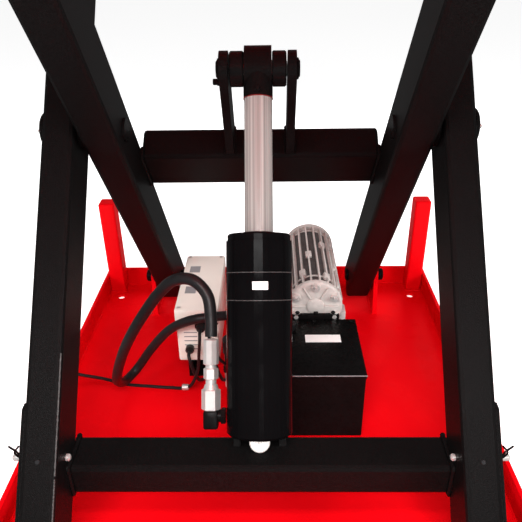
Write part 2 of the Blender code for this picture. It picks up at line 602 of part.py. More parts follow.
def make_ram():
    """Barrel slotted for its foot lugs, gland ring, chromed rod, rod eye on its pin, and the hose fitting."""
    start, end = BARREL_SPAN
    barrel = turned("ram_barrel",
                    [(start, 0), (start, BARREL_RADIUS - BARREL_EDGE), (start + BARREL_EDGE, BARREL_RADIUS),
                     (end, BARREL_RADIUS), (end, 0)], GLOSS, RAM, axis="Y", sides=FINE_ROUND)
    for side, _ in SIDES:
        x = mirrored(FOOT_SLOT_X, side)
        cut(barrel, box_mesh((x[0], start - OVERSHOOT, -BARREL_RADIUS - OVERSHOOT),
                             (x[1], FOOT_SLOT_END, FOOT_SLOT_FRONT)), RAM)
    slot_edge = FOOT_SLOT_X[1]
    cut(barrel, cylinder_mesh(FOOT_PIN_RADIUS + GAP, (-slot_edge, 0, 0), (slot_edge, 0, 0), BORE_SIDES), RAM)
    cut(barrel, cylinder_mesh(ROD_RADIUS + GAP, (0, BORE_START, 0), (0, end + OVERSHOOT, 0)), RAM)
    ring = end + GAP
    gland = turned("ram_gland",
                   [(ring, 0), (ring, GLAND_RADIUS), (GLAND_TOP - PIN_CHAMFER, GLAND_RADIUS),
                    (GLAND_TOP, GLAND_RADIUS - PIN_CHAMFER), (GLAND_TOP, 0)], GLOSS, RAM, axis="Y", sides=FINE_ROUND)
    cut(gland, cylinder_mesh(ROD_RADIUS + GAP, (0, end - OVERSHOOT, 0), (0, GLAND_TOP + OVERSHOOT, 0)), RAM)
    fitting = turned("hose_fitting", FITTING_PROFILE, ZINC, RAM, axis="Y", centre=(FITTING_X, 0, 0), sides=BORE_SIDES)
    join(fitting, cylinder_mesh(PORT_RADIUS, (PORT_END_X, PORT_ALONG, 0), (FITTING_X, PORT_ALONG, 0), SMALL_ROUND),
         RAM)
    neck = RAM_LENGTH - NECK_LENGTH
    cylinder("ram_rod", ROD_RADIUS, (0, ROD_START, 0), (0, neck - GAP, 0), CHROME, RAM)
    outline = [(RAM_LENGTH + EYE_REACH * math.cos(a), EYE_HALF_HEIGHT * math.sin(a))
               for a in (math.radians(turn) for turn in range(-90, 91, 10))]
    outline += arc((RAM_LENGTH, 0), EYE_HALF_HEIGHT, 90, 270, ROUND // 2)[1:-1]
    eye = plate("rod_eye", outline, (-EYE_HALF_WIDTH, EYE_HALF_WIDTH), BLACK, RAM)
    join(eye, cylinder_mesh(NECK_RADIUS, (0, neck, 0), (0, RAM_LENGTH, 0)), RAM)
    bore(eye, EYE_PIN_RADIUS, (-EYE_HALF_WIDTH, EYE_HALF_WIDTH), RAM_LENGTH, frame=RAM)
    pin("rod_eye_pin", (-EYE_PIN_HALF_LENGTH, EYE_PIN_HALF_LENGTH), EYE_PIN_RADIUS, ZINC, RAM,
        centre=(0, RAM_LENGTH, 0), sides=BORE_SIDES)


def make_platform():
    """Deck plate, its skirt, and the side rails with the hinge bores."""
    low, high = PLATFORM_PIN_DROP, PLATFORM_PIN_DROP + DECK_THICKNESS
    far, near = PLATFORM_HALF_LENGTH - FIXED_PINS_Y, -PLATFORM_HALF_LENGTH - FIXED_PINS_Y
    width = PLATFORM_HALF_WIDTH
    box("platform_deck", (-width, near, low), (width, far, high), RED, PLATFORM, bevel=DECK_EDGE)
    top = low - GAP
    skirt = box("platform_skirt", (-width, near, top - SKIRT_DEPTH), (width, far, top), RED, PLATFORM)
    inner = width - SKIRT_THICKNESS
    cut(skirt, box_mesh((-inner, near + SKIRT_THICKNESS, top - SKIRT_DEPTH - OVERSHOOT),
                        (inner, far - SKIRT_THICKNESS, top + OVERSHOOT)), PLATFORM)
    start = near + RAIL_NEAR_INSET
    underside = top - RAIL_DEPTH
    outline = [(start, top), (start, underside), (RAIL_FLARE[0], underside), (RAIL_FLARE[1], RAIL_FLARE_Z)]
    outline += arc((0, 0), RAIL_EYE_RADIUS, 238, 360) + [(BRACKET_RADIUS, top)]
    for side, hand in SIDES:
        x = mirrored(RAIL_X, side)
        rail = plate(f"platform_rail_{hand}", outline, x, RED, PLATFORM)
        bore(rail, END_PIN_RADIUS, x, 0, frame=PLATFORM)


make_base()
make_power_pack()
make_inner_frame()
make_outer_frame()
make_ram()
make_platform()
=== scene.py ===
"""Looks of the scissor lift table: paints, metals, welds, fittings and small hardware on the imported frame."""

import json
import math

import bmesh
import bpy
from mathutils import Matrix, Vector


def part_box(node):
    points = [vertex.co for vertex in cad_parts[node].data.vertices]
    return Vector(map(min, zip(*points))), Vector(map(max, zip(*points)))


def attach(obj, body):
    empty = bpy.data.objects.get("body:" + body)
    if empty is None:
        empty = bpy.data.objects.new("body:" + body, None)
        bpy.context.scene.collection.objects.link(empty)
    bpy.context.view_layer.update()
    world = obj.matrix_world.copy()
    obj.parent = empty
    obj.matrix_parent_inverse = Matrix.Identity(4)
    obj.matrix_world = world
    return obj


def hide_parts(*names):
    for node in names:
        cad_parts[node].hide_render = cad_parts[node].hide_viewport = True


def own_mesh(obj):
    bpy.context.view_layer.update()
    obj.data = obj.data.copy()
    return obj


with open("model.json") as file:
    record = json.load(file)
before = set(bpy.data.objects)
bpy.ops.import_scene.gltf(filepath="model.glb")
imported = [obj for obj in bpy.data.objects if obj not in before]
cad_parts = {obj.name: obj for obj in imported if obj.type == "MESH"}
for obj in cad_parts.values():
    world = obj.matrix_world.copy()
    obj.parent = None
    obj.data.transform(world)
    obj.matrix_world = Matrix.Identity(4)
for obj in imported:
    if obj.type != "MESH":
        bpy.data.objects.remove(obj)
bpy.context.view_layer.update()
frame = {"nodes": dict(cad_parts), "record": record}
scene = bpy.context.scene
JOINTS = {joint["name"]: joint for joint in frame["record"]["behaviour"]["joints"]}

CENTRE = Vector(JOINTS["centre_pivot"]["pos_m"])
FIXED = Vector(JOINTS["scissor_fold"]["pos_m"])
FOOT = Vector(JOINTS["ram_foot_hinge"]["pos_m"])
RAM_AXIS = Vector(JOINTS["rod_slide"]["axis"])
ARM_REACH = (FIXED - CENTRE).length
RAISED_ANGLE = math.atan2(CENTRE.z - FIXED.z, FIXED.y - CENTRE.y)
OUTER = Matrix.Translation(CENTRE) @ Matrix.Rotation(RAISED_ANGLE, 4, "X")
INNER = Matrix.Translation(CENTRE) @ Matrix.Rotation(-RAISED_ANGLE, 4, "X")
RAM = Matrix.Translation(FOOT) @ Matrix.Rotation(math.atan2(RAM_AXIS.z, RAM_AXIS.y), 4, "X")
WORLD = Matrix.Identity(4)

# Places along the ram, from its foot pin
BARREL_TOP = 0.272
EYE_ALONG = 0.5149
NECK_ALONG = EYE_ALONG - 0.045
BARREL_RADIUS = 0.0475
BARREL_SEAMS = (0.2165, 0.1776)
LABEL_ALONG = 0.198
LABEL_TURN = math.radians(87)
ROD_RADIUS = 0.0212
FITTING_X = -0.070
PORT_ALONG = 0.0120

# Cross tubes: centre along and off their frame, and half sizes
OUTER_TUBE = (-0.4856, -0.0403, 0.0305, 0.025)
INNER_TUBE = (0.153, 0.049, 0.045, 0.0285)
INNER_ARM_FACE = 0.0385
EAR_HOLE = (-0.045, 0.0725)
LOCK_PIN_ALONG = -0.470
PIN_RING_RADIUS = 0.0150

# Weld beads and small hardware
FINE_BEAD = 0.002
FAR_WALL_BEAD = 0.0022
STITCH_BEAD = 0.0024
PLATE_BEAD = 0.003
INNER_TUBE_BEAD = 0.0034
OUTER_TUBE_BEAD = 0.0036
WASHER_THICK = 0.0016
CLIP_WIRE = 0.0013
SPLIT_PIN_WIRE = 0.0014

HOSE_RADIUS = 0.009
CABLE_RADIUS = 0.0032
HOSE_ROUTE = [
    (-0.0700, 0.0275, 0.3062), (-0.0705, 0.0430, 0.3310), (-0.0760, 0.0600, 0.3570),
    (-0.0980, 0.0740, 0.3740), (-0.1280, 0.0860, 0.3660), (-0.1560, 0.1000, 0.3340),
    (-0.1830, 0.1101, 0.2933), (-0.2082, 0.1196, 0.2506), (-0.2315, 0.1342, 0.2037),
    (-0.2509, 0.1536, 0.1552), (-0.2658, 0.1737, 0.1113), (-0.2761, 0.2064, 0.0713),
    (-0.2775, 0.2513, 0.0340), (-0.2581, 0.2850, 0.0392), (-0.2231, 0.2840, 0.0907),
    (-0.1789, 0.2680, 0.1481), (-0.1320, 0.2500, 0.1820), (-0.0820, 0.2560, 0.1860),
    (-0.0300, 0.2800, 0.1740), (0.0060, 0.3130, 0.1500), (0.0230, 0.3320, 0.1200),
    (0.0340, 0.3420, 0.0960), (0.0470, 0.3450, 0.0880), (0.0606, 0.3450, 0.0880),
]
CABLE_ROUTE = [
    (-0.3940, 0.290, 0.0220), (-0.3700, 0.290, 0.0160), (-0.3300, 0.285, 0.0115),
    (-0.2800, 0.268, 0.0112), (-0.2300, 0.262, 0.0112), (-0.1900, 0.258, 0.0112),
    (-0.1500, 0.250, 0.0200), (-0.1300, 0.248, 0.0600), (-0.1230, 0.244, 0.1100),
    (-0.1200, 0.2440, 0.1400), (-0.1200, 0.2520, 0.1500), (-0.1200, 0.2610, 0.1500),
]


# Materials

COAT_ROUGHNESS = 0.08
RELIEF_DEPTH = 0.0006
DRIFT_FROM, DRIFT_TO = 0.35, 0.65


def surface(name, colour, roughness, metallic=0.0, coat=0.0, spread=0.1, scale=40.0, bump=0.0,
            bump_scale=900.0, rough_spread=0.06, stretch=(1, 1, 1), shine=0.5):
    """A Principled material whose colour and roughness drift, with a fine bump."""
    made = bpy.data.materials.new(name)
    made.use_nodes = True
    tree = made.node_tree
    shader = tree.nodes["Principled BSDF"]
    shader.inputs["Metallic"].default_value = metallic
    shader.inputs["Coat Weight"].default_value = coat
    shader.inputs["Specular IOR Level"].default_value = shine
    shader.inputs["Coat Roughness"].default_value = COAT_ROUGHNESS
    place = tree.nodes.new("ShaderNodeTexCoord")
    mapping = tree.nodes.new("ShaderNodeMapping")
    mapping.inputs["Scale"].default_value = stretch
    tree.links.new(place.outputs["Object"], mapping.inputs["Vector"])

    def noise(size, detail):
        node = tree.nodes.new("ShaderNodeTexNoise")
        node.inputs["Scale"].default_value = size
        node.inputs["Detail"].default_value = detail
        tree.links.new(mapping.outputs["Vector"], node.inputs["Vector"])
        return node

    def ramp(source, low, high):
        node = tree.nodes.new("ShaderNodeValToRGB")
        node.color_ramp.elements[0].position = DRIFT_FROM
        node.color_ramp.elements[1].position = DRIFT_TO
        node.color_ramp.elements[0].color = (*low, 1)
        node.color_ramp.elements[1].color = (*high, 1)
        tree.links.new(source.outputs["Fac"], node.inputs["Fac"])
        return node

    drift = noise(scale, 4)
    dark = [c * (1 - spread) for c in colour]
    light = [min(1.0, c * (1 + spread)) for c in colour]
    tree.links.new(ramp(drift, dark, light).outputs["Color"], shader.inputs["Base Color"])
    low, high = max(0.02, roughness - rough_spread), min(1.0, roughness + rough_spread)
    polish = ramp(noise(scale * 3, 5), [low] * 3, [high] * 3)
    tree.links.new(polish.outputs["Color"], shader.inputs["Roughness"])
    if bump:
        grain = noise(bump_scale, 2)
        relief = tree.nodes.new("ShaderNodeBump")
        relief.inputs["Strength"].default_value = bump
        relief.inputs["Distance"].default_value = RELIEF_DEPTH
        tree.links.new(grain.outputs["Fac"], relief.inputs["Height"])
        tree.links.new(relief.outputs["Normal"], shader.inputs["Normal"])
    return made


RED = surface("red_gloss_powder_coat", (0.68, 0.0015, 0.0045), 0.30, spread=0.04, scale=6, bump=0.05,
              bump_scale=260, shine=0.035)
BLACK = surface("black_textured_powder_coat", (0.0036, 0.0033, 0.0033), 0.38, spread=0.3, scale=420,
                bump=0.8, bump_scale=780, shine=0.055)
GLOSS = surface("black_gloss_paint", (0.0022, 0.0020, 0.0022), 0.13, spread=0.1, scale=12, bump=0.02,
                bump_scale=160, shine=0.035)
SATIN = surface("black_satin_paint", (0.0035, 0.0032, 0.0032), 0.3, spread=0.15, scale=60, bump=0.1,
                bump_scale=400, shine=0.06)
CHROME = surface("hard_chrome", (0.245, 0.226, 0.213), 0.24, 0.15, spread=0.42, scale=5, rough_spread=0.03,
                 stretch=(52, 0.02, 0.02), shine=0.12)
ZINC = surface("bright_zinc_plate", (0.58, 0.57, 0.55), 0.34, 0.60, spread=0.03, scale=60, bump=0.02,
               bump_scale=500, rough_spread=0.02)
CAST = surface("cast_aluminium", (0.56, 0.515, 0.485), 0.48, 0.25, spread=0.08, scale=90, bump=0.45,
               bump_scale=520)
CREAM = surface("cream_enamel", (0.66, 0.61, 0.55), 0.38, coat=0.1, spread=0.02, scale=9, bump=0.05,
                bump_scale=300)
RUBBER = surface("black_hose_rubber", (0.008, 0.008, 0.0085), 0.4, spread=0.2, scale=120, bump=0.2,
                 bump_scale=600, shine=0.35)
PLASTIC = surface("black_moulded_plastic", (0.007, 0.007, 0.0075), 0.36, spread=0.12, scale=80, bump=0.12,
                  bump_scale=500, shine=0.35)
STEEL = surface("turned_steel", (0.33, 0.33, 0.33), 0.3, 1.0, spread=0.12, scale=200, bump=0.15,
                bump_scale=900)
TRACK = surface("worn_track_steel", (0.16, 0.15, 0.15), 0.4, 0.5, spread=0.35, scale=25, bump=0.2,
                bump_scale=300, stretch=(4, 0.6, 4))
# A grey for the barrel's seam rings, and a painted highlight line along an arm's edge.
SEAM_GREY_AND_EDGE_HIGHLIGHT = surface("seam_grey_and_painted_edge_highlight", (0.040, 0.038, 0.037), 0.4, spread=0.5, scale=600, bump=0.4,
               bump_scale=900)
LABEL = surface("blank_white_label", (0.80, 0.79, 0.77), 0.45, spread=0.02, scale=30, bump=0.03,
                bump_scale=500, shine=0.2)
GREY_LABEL = surface("blank_grey_label", (0.20, 0.20, 0.205), 0.42, spread=0.05, scale=30, bump=0.03,
                     bump_scale=500)
# Dark grey painted on the floor between the motor's fins as the shade that falls in the gaps.
FIN_GAP_SHADE = surface("painted_shade_fin_gap", (0.060, 0.055, 0.053), 0.6, 0.2, spread=0.2, scale=90, bump=0.4,
               bump_scale=520)
RED_MARK = surface("red_assembly_mark", (0.13, 0.004, 0.004), 0.4, spread=0.2, scale=200)


# Shapes

def piece(name, bm, finish, body, space=WORLD, smooth=False, angle=35):
    """The bmesh as a piece that rides on a body."""
    bmesh.ops.transform(bm, matrix=space, verts=bm.verts)
    bmesh.ops.recalc_face_normals(bm, faces=bm.faces)
    mesh = bpy.data.meshes.new(name)
    bm.to_mesh(mesh)
    bm.free()
    if smooth:
        mesh.shade_smooth()
        mesh.set_sharp_from_angle(angle=math.radians(angle))
    mesh.materials.append(finish)
    obj = bpy.data.objects.new(name, mesh)
    scene.collection.objects.link(obj)
    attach(obj, body)
    return obj


def box_into(bm, low, high, bevel=0.0):
    """Adds a bevelled box to the bmesh."""
    low, high = Vector(low), Vector(high)
    size = high - low
    place = Matrix.Translation((low + high) / 2) @ Matrix.Diagonal((*size, 1))
    made = bmesh.ops.create_cube(bm, size=1, matrix=place)["verts"]
    if bevel:
        edges = list({edge for vert in made for edge in vert.link_edges})
        bmesh.ops.bevel(bm, geom=edges, offset=bevel, segments=2, profile=0.5, affect="EDGES")
    return bm


def boxes(spans, bevel=0.0):
    """One bmesh with a box for each (low, high) pair."""
    bm = bmesh.new()
    for low, high in spans:
        box_into(bm, low, high, bevel)
    return bm


def turn_into(bm, profile, centre=(0, 0, 0), axis="Y", sides=32):
    """Adds a solid of revolution to the bmesh. The profile lists (position along the axis, radius)."""
    part = bmesh.new()
    points = [part.verts.new((radius, 0, along)) for along, radius in profile]
    edges = [part.edges.new(pair) for pair in zip(points, points[1:])]
    bmesh.ops.spin(part, geom=points + edges, cent=(0, 0, 0), axis=(0, 0, 1), angle=math.tau, steps=sides,
                   use_merge=True)
    bmesh.ops.remove_doubles(part, verts=part.verts, dist=1e-6)
    turn = {"X": Matrix.Rotation(math.pi / 2, 4, "Y"), "Y": Matrix.Rotation(-math.pi / 2, 4, "X"),
            "Z": Matrix.Identity(4)}[axis]
    bmesh.ops.transform(part, matrix=Matrix.Translation(centre) @ turn, verts=part.verts)
    mesh = bpy.data.meshes.new("part")
    part.to_mesh(mesh)
    part.free()
    bm.from_mesh(mesh)
    bpy.data.meshes.remove(mesh)
    return bm


def turned(profile, centre=(0, 0, 0), axis="Y", sides=32):
    return turn_into(bmesh.new(), profile, centre, axis, sides)


def rounded(start, end, radius, edge=0.001):
    """The profile of a disc with a chamfered rim."""
    return [(start, 0), (start, radius - edge), (start + edge, radius), (end - edge, radius),
            (end, radius - edge), (end, 0)]


def ring_profile(start, end, inner, outer):
    """The closed profile of a plain ring."""
    return [(start, inner), (start, outer), (end, outer), (end, inner), (start, inner)]


def flip(profile, side):
    """The profile pointing the way of the side, -1 or 1."""
    return [(side * along, radius) for along, radius in profile]


def circle(count, turns=1.0, start=0.0):
    """Evenly spaced angles from the start. A full circle leaves out its closing angle."""
    steps = count if turns == 1.0 else count - 1
    return [start + math.tau * turns * i / steps for i in range(count)]


def smooth_route(points, spacing):
    """Evenly spaced points on a Catmull-Rom curve through the route's own points."""
    points = [Vector(p) for p in points]
    padded = [2 * points[0] - points[1], *points, 2 * points[-1] - points[-2]]
    dense = []
    for a, b, c, d in zip(padded, padded[1:], padded[2:], padded[3:]):
        for i in range(24):
            t = i / 24
            square = (2 * a - 5 * b + 4 * c - d) * t**2
            cube = (3 * b - a - 3 * c + d) * t**3
            dense.append(0.5 * (2 * b + (c - a) * t + square + cube))
    dense.append(points[-1])
    kept = [dense[0]]
    for point in dense[1:-1]:
        if (point - kept[-1]).length >= spacing:
            kept.append(point)
    return [*kept, dense[-1]]


def tube(points, radius, sides=16, ripple=0.0, closed=False):
    """A swept tube. A ripple makes its radius pulse, as on a weld bead."""
    bm = bmesh.new()
    points = [Vector(p) for p in points]
    count = len(points)
    rings = []
    across = None
    for i, point in enumerate(points):
        before = points[i - 1] if i or closed else points[0]
        after = points[(i + 1) % count] if i < count - 1 or closed else points[-1]
        along = (after - before).normalized()
        if across is None:
            across = along.orthogonal().normalized()
        across = (across - along * across.dot(along)).normalized()
        other = along.cross(across)
        size = radius * (1 + ripple * math.sin(2.2 * i))
        rings.append([
            bm.verts.new(point + size * (math.cos(a) * across + math.sin(a) * other))
            for a in (math.tau * k / sides for k in range(sides))
        ])
    pairs = list(zip(rings, rings[1:])) + ([(rings[-1], rings[0])] if closed else [])
    for first, second in pairs:
        for k in range(sides):
            bm.faces.new((first[k], first[(k + 1) % sides], second[(k + 1) % sides], second[k]))
    if not closed:
        bm.faces.new(rings[0][::-1])
        bm.faces.new(rings[-1])
    return bm


def bead(name, corners, body, space=WORLD, radius=0.0026, closed=True, finish=None):
    """A rippled fillet weld along straight runs between corners."""
    corners = [Vector(c) for c in corners]
    runs = list(zip(corners, corners[1:])) + ([(corners[-1], corners[0])] if closed else [])
    points = []
    for start, end in runs:
        steps = max(2, int((end - start).length / 0.0022))
        points += [start.lerp(end, i / steps) for i in range(steps)]
    if not closed:
        points.append(corners[-1])
    swept = tube(points, radius, 8, 0.16, closed)
    return piece(name, swept, finish or BLACK, body, space, smooth=True, angle=60)


def red_bead(name, corners, body, radius, closed=False):
    return bead(name, corners, body, radius=radius, closed=closed, finish=RED)


def hexagon(start, end, flats, centre, axis="Y"):
    """A hexagonal prism with chamfered corners."""
    radius = flats / math.sqrt(3)
    return turned(rounded(start, end, radius, radius * 0.08), centre, axis, 6)


def bolt(name, centre, axis, flats, body, space=WORLD, finish=None, washer=True, out=1):
    """A hex head on a washer. The axis is X, Y or Z, and out says which way the head points."""
    bm = bmesh.new()
    head = flats * 0.62
    if washer:
        turn_into(bm, flip(rounded(0, WASHER_THICK, flats * 0.85, 0.0004), out), centre, axis, 24)
    radius = flats / math.sqrt(3)
    profile = [(WASHER_THICK, 0), (WASHER_THICK, radius), (head * 0.85, radius), (head, radius * 0.86),
               (head, 0)]
    turn_into(bm, flip(profile, out), centre, axis, 6)
    return piece(name, bm, finish or ZINC, body, space, smooth=True, angle=25)


def lower_half(bm):
    """The half of a disc that shows below the barrel, closed along its cut."""
    everything = bm.verts[:] + bm.edges[:] + bm.faces[:]
    cut = bmesh.ops.bisect_plane(bm, geom=everything, plane_co=(0, 0.001, 0), plane_no=(0, 1, 0),
                                 clear_outer=True)["geom_cut"]
    bmesh.ops.holes_fill(bm, edges=[item for item in cut if isinstance(item, bmesh.types.BMEdge)])
    return bm


def paint(nodes, finish):
    """A carried-over CAD piece's own slots take the finish."""
    for name in nodes:
        data = frame["nodes"][name].data
        if not data.materials:
            data.materials.append(finish)
        for index in range(len(data.materials)):
            data.materials[index] = finish


def pair(stem):
    return [f"{stem}_left", f"{stem}_right"]


def both_sides():
    """(side, hand) for the left and the right."""
    return ((-1, "left"), (1, "right"))


def span(node):
    """The low and high corners of a node's box."""
    return [Vector(corner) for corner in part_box(node)]


def outer_face(node, side):
    """How far a node reaches in X on the side."""
    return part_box(node)[0 if side < 0 else 1][0]


# Camera, light and stage

# Each light: name, place, what it faces, size, power, and whether it shows in reflections
LIGHTS = [
    ("left_softbox", (-2.0, -1.1, 0.9), (0, 0.2, 0.25), (1.0, 0.8), 45, False),
    ("right_softbox", (2.0, -1.0, 0.9), (0, 0.2, 0.25), (1.0, 0.8), 52, False),
    ("near_softbox", (0.0, -1.9, 2.0), (0, -0.1, 0.4), (1.4, 0.6), 56, True),
    ("under_deck_strip", (0.0, -0.60, 1.045), (0, 0.30, 0.10), (0.60, 0.08), 7, False),
    ("far_softbox", (0.3, 2.4, 1.3), (0, 0.3, 0.3), (2.0, 1.2), 45, False),
    ("streak_strip", (0.42, -2.2, 0.80), (0, 0, 0.40), (0.14, 1.2), 6, True),
]
CAMERA_FROM_CENTRE = Vector((0.0195, -0.8738, 0.2586))
CAMERA_TURN = (-1.26, 28.97, -0.98)
LENS = 41.27
SENSOR = 36.0
FLOOR_HALF_SIZE = 60
FLOOR_DROP = 0.001
FLOOR_GLOW = 0.80
SKY_STRENGTH = 0.16

def make_camera():
    """The camera stands just under the near edge of the platform and looks down along the table."""
    yaw, pitch, roll = (math.radians(turn) for turn in CAMERA_TURN)
    ahead = Vector((math.sin(yaw) * math.cos(pitch), math.cos(yaw) * math.cos(pitch), -math.sin(pitch)))
    level = Vector((math.cos(yaw), -math.sin(yaw), 0))
    up = level.cross(ahead)
    right = math.cos(roll) * level + math.sin(roll) * up
    up = -math.sin(roll) * level + math.cos(roll) * up
    turn = Matrix((right, up, -ahead)).transposed().to_4x4()
    data = bpy.data.cameras.new("camera")
    data.lens = LENS
    data.sensor_width = SENSOR
    data.clip_start = 0.02
    data.clip_end = 200.0
    camera = bpy.data.objects.new("camera", data)
    camera.matrix_world = Matrix.Translation(CENTRE + CAMERA_FROM_CENTRE) @ turn
    scene.collection.objects.link(camera)
    scene.camera = camera


def area_light(name, place, target, size, power, mirrored):
    data = bpy.data.lights.new(name, "AREA")
    data.shape = "RECTANGLE"
    data.size, data.size_y = size
    data.energy = power
    light = bpy.data.objects.new(name, data)
    light.location = place
    light.rotation_euler = (Vector(target) - Vector(place)).to_track_quat("-Z", "Y").to_euler()
    light.visible_camera = False
    light.visible_glossy = mirrored
    scene.collection.objects.link(light)


def make_stage():
    """A pale floor, an even white sky and soft boxes low round the table."""
    bm = bmesh.new()
    bmesh.ops.create_grid(bm, x_segments=1, y_segments=1, size=FLOOR_HALF_SIZE)
    mesh = bpy.data.meshes.new("studio_floor")
    bm.to_mesh(mesh)
    bm.free()
    floor = bpy.data.objects.new("studio_floor", mesh)
    floor.location.z = -FLOOR_DROP
    finish = bpy.data.materials.new("studio_floor_white")
    finish.use_nodes = True
    shader = finish.node_tree.nodes["Principled BSDF"]
    shader.inputs["Base Color"].default_value = (0.80, 0.80, 0.80, 1)
    shader.inputs["Roughness"].default_value = 0.9
    shader.inputs["Emission Color"].default_value = (1, 1, 1, 1)
    shader.inputs["Emission Strength"].default_value = FLOOR_GLOW
    mesh.materials.append(finish)
    scene.collection.objects.link(floor)
    floor.visible_glossy = False
    world = bpy.data.worlds.new("studio_sky")
    world.use_nodes = True
    background = world.node_tree.nodes["Background"]
    background.inputs["Color"].default_value = (1, 1, 1, 1)
    background.inputs["Strength"].default_value = SKY_STRENGTH
    scene.world = world
    for name, place, target, size, power, mirrored in LIGHTS:
        area_light(name, place, target, size, power, mirrored)
    scene.view_settings.view_transform = "Standard"


# Pieces

def finish_base():
    """Red pan with welded corners, worn tracks and brackets."""
    paint(["base_floor", "base_wall_far", "base_wall_near"] + pair("base_wall") + pair("rest_post")
          + pair("hinge_bracket"), RED)
    paint(pair("roller_track"), TRACK)
    low, high = span("base_wall_far")
    floor_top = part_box("base_floor")[1][2]
    red_bead("far_wall_weld", [(low.x, low.y, floor_top), (high.x, low.y, floor_top)], "base", FAR_WALL_BEAD)
    for side, hand in both_sides():
        corner = side * high.x
        red_bead(f"corner_weld_{hand}", [(corner, low.y, floor_top), (corner, low.y, high.z - 0.002)], "base",
                 FINE_BEAD)
        weld_side_wall(side, hand, floor_top)
        weld_post(hand, floor_top)
        weld_bracket(hand, floor_top)
        finish_track(side, hand, floor_top)


def weld_side_wall(side, hand, floor_top):
    low, high = span(f"base_wall_{hand}")
    inner = low.x if side > 0 else high.x
    red_bead(f"side_wall_weld_{hand}", [(inner, low.y + 0.01, floor_top), (inner, high.y - 0.05, floor_top)],
             "base", FINE_BEAD)


def weld_post(hand, floor_top):
    low, high = span(f"rest_post_{hand}")
    foot = [(low.x, low.y, floor_top), (high.x, low.y, floor_top), (high.x, high.y, floor_top),
            (low.x, high.y, floor_top)]
    red_bead(f"post_foot_weld_{hand}", foot, "base", STITCH_BEAD, closed=True)


def weld_bracket(hand, floor_top):
    low, high = span(f"hinge_bracket_{hand}")
    for x, where in ((low.x, "a"), (high.x, "b")):
        red_bead(f"bracket_weld_{hand}_{where}", [(x, low.y, floor_top), (x, high.y, floor_top)], "base",
                 PLATE_BEAD)


def finish_track(side, hand, floor_top):
    """Stitch welds along the roller track, and a stop at its far end."""
    low, high = span(f"roller_track_{hand}")
    x = high.x if side > 0 else low.x
    stitches = 6
    for i in range(stitches):
        y = low.y + 0.04 + i * (high.y - low.y - 0.1) / (stitches - 1)
        run = [(x, y, floor_top), (x, y + 0.03, floor_top)]
        red_bead(f"track_stitch_{hand}_{i}", run, "base", STITCH_BEAD)
    stop_y = high.y - 0.012
    stop = boxes([((low.x + 0.004, stop_y, high.z), (high.x - 0.004, stop_y + 0.010, high.z + 0.016))], 0.001)
    piece(f"roller_stop_{hand}", stop, RED, "base", smooth=True)


def finish_frames():
    """Textured black arms and tubes with weld beads, pins with rings and nipples, doubler plates."""
    paint(pair("inner_arm") + pair("outer_arm") + ["inner_cross_tube", "outer_cross_tube"]
          + pair("rod_eye_ear") + pair("ram_foot_lug") + pair("doubler_plate"), BLACK)
    paint(pair("pivot_pin") + pair("base_hinge_pin"), SATIN)
    paint(pair("lock_pin") + pair("base_roller_axle") + pair("upper_roller_axle")
          + pair("platform_hinge_pin") + ["ram_foot_pin", "rod_eye_pin"], ZINC)
    paint(pair("base_roller") + pair("upper_roller"), STEEL)
    for side, hand in both_sides():
        weld_inner_tube(side, hand)
        weld_outer_tube(side, hand)
        finish_ear(side, hand)
        finish_pivot(side, hand)
        clip_axles(side, hand)
        finish_lock_pin(side, hand)
        weld_doubler(side, hand)
    paint_arm_edge_highlight()
    finish_foot_plug()


def weld_inner_tube(side, hand):
    x = side * (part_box("inner_cross_tube")[1][0] - 0.001)
    along, off, half, deep = INNER_TUBE
    corners = [(x, along - half, off - deep), (x, along + half, off - deep),
               (x, along + half, INNER_ARM_FACE), (x, along - half, INNER_ARM_FACE)]
    bead(f"inner_tube_weld_{hand}", corners, "inner_frame", INNER, INNER_TUBE_BEAD)


def weld_outer_tube(side, hand):
    x = side * (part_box("outer_cross_tube")[1][0] - 0.001)
    along, off, wide, tall = OUTER_TUBE
    level = OUTER @ Matrix.Translation((0, along, off)) @ Matrix.Rotation(-RAISED_ANGLE, 4, "X")
    corners = [(x, -wide, -tall), (x, wide, -tall), (x, wide, tall), (x, -wide, tall)]
    bead(f"outer_tube_weld_{hand}", corners, "outer_frame", level, OUTER_TUBE_BEAD)


def finish_ear(side, hand):
    """Welds along both faces of an ear, and the end of the eye's pin outside it."""
    along, off, half, deep = INNER_TUBE
    low, high = span(f"rod_eye_ear_{hand}")
    for x, where in ((low.x, "a"), (high.x, "b")):
        run = [(x, along + 0.033, off + deep), (x, along - half, off + deep), (x, along - half, 0.025)]
        bead(f"ear_weld_{hand}_{where}", run, "inner_frame", INNER, PLATE_BEAD, closed=False)
    outside = side * max(abs(low.x), abs(high.x))
    pin_end = turned(flip(rounded(0.0, 0.005, 0.0125, 0.0012), side), (outside, *EAR_HOLE), "X", 32)
    piece(f"eye_pin_end_{hand}", pin_end, SATIN, "inner_frame", INNER, smooth=True)
    hole_along, hole_off = EAR_HOLE
    radius = 0.0142
    ring = [(outside + side * 0.0018, hole_along + radius * math.cos(a), hole_off + radius * math.sin(a))
            for a in circle(37, 0.9)]
    piece(f"eye_pin_ring_{hand}", tube(ring, 0.0014, 8), SATIN, "inner_frame", INNER, smooth=True)


def finish_pivot(side, hand):
    """A spacer between the arms, and a grease nipple on the pivot pin's head."""
    spacer = turned(flip(ring_profile(0.2538, 0.2630, 0.0190, 0.0290), side), axis="X", sides=40)
    piece(f"pivot_spacer_{hand}", spacer, SATIN, "inner_frame", INNER, smooth=True)
    profile = [(0, 0), (0, 0.0045), (0.003, 0.0045), (0.003, 0.003), (0.006, 0.003), (0.008, 0.0034),
               (0.010, 0.0015), (0.010, 0)]
    nipple = turned(flip(profile, side), (outer_face(f"pivot_pin_{hand}", side), 0, 0), "X", 20)
    piece(f"pivot_nipple_{hand}", nipple, ZINC, "inner_frame", INNER, smooth=True)


